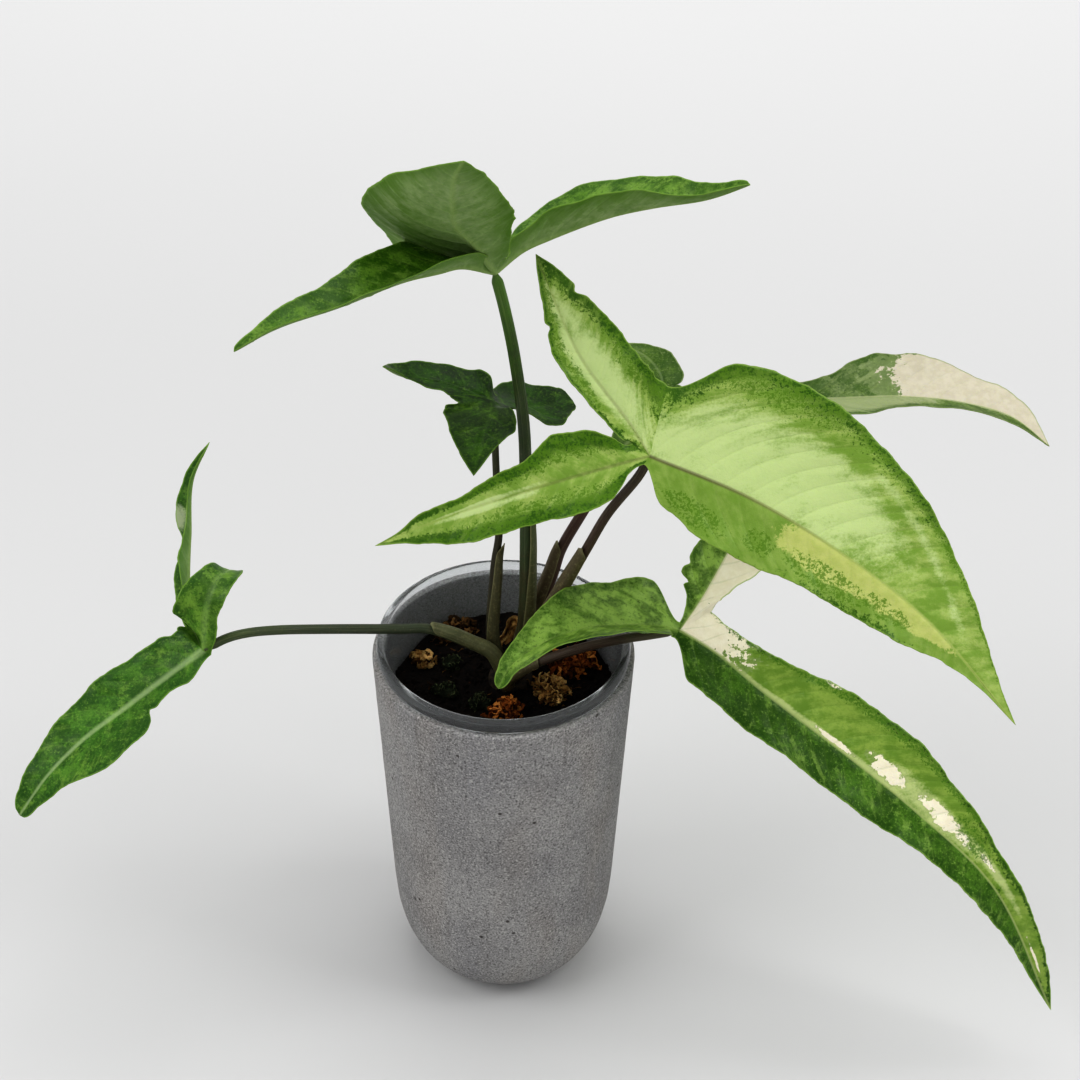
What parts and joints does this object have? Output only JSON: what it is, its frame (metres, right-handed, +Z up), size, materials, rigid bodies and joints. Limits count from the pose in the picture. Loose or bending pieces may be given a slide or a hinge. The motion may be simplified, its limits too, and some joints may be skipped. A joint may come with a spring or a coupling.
{
  "type": "potted syngonium angustatum",
  "caption": "Young climbing aroid with narrow three-lobed variegated leaves on slender stalks, in a clear grow cup that hangs in a grey cover pot.",
  "frame": {"origin": "centre of the cover pot's flat foot, on the surface it stands on", "axes": "+Z up along the pot's axis, -Y towards the viewer, +X to the viewer's right"},
  "size_m": [0.3925, 0.1513, 0.3863],
  "materials": {
    "pot": "matt grey with a fine sand texture",
    "cup": "clear thin plastic",
    "mix": "dark moist potting mix",
    "root": "pale brown, matt",
    "petiole": "dark olive to purple-brown, satin",
    "dark_leaf": "deep green leaf, satin",
    "lime_leaf": "lime leaf speckled with dark green, satin",
    "cream_leaf": "green leaf with cream patches, satin",
    "dry_moss": "dry orange-brown moss",
    "green_moss": "dull green moss"
  },
  "bodies": {
    "root": {"cover_pot": "pot", "grow_cup": "cup", "growing_medium": "mix", "stem_and_roots": "root", "top_leaf_petiole": "petiole", "top_leaf_blade": "dark_leaf", "small_leaf_petiole": "petiole", "small_leaf_blade": "dark_leaf", "lime_leaf_petiole": "petiole", "lime_leaf_blade": "lime_leaf", "back_leaf_petiole": "petiole", "back_leaf_blade": "cream_leaf", "low_leaf_petiole": "petiole", "low_leaf_blade": "cream_leaf", "side_leaf_petiole": "petiole", "side_leaf_blade": "dark_leaf", "front_moss_tuft": "dry_moss", "right_moss_tuft": "dry_moss", "far_moss_tuft": "dry_moss", "left_moss_tuft": "dry_moss", "back_moss_tuft": "dry_moss", "dry_bract": "dry_moss", "green_moss_1": "green_moss", "green_moss_2": "green_moss", "green_moss_3": "green_moss"}
  },
  "joints": []
}
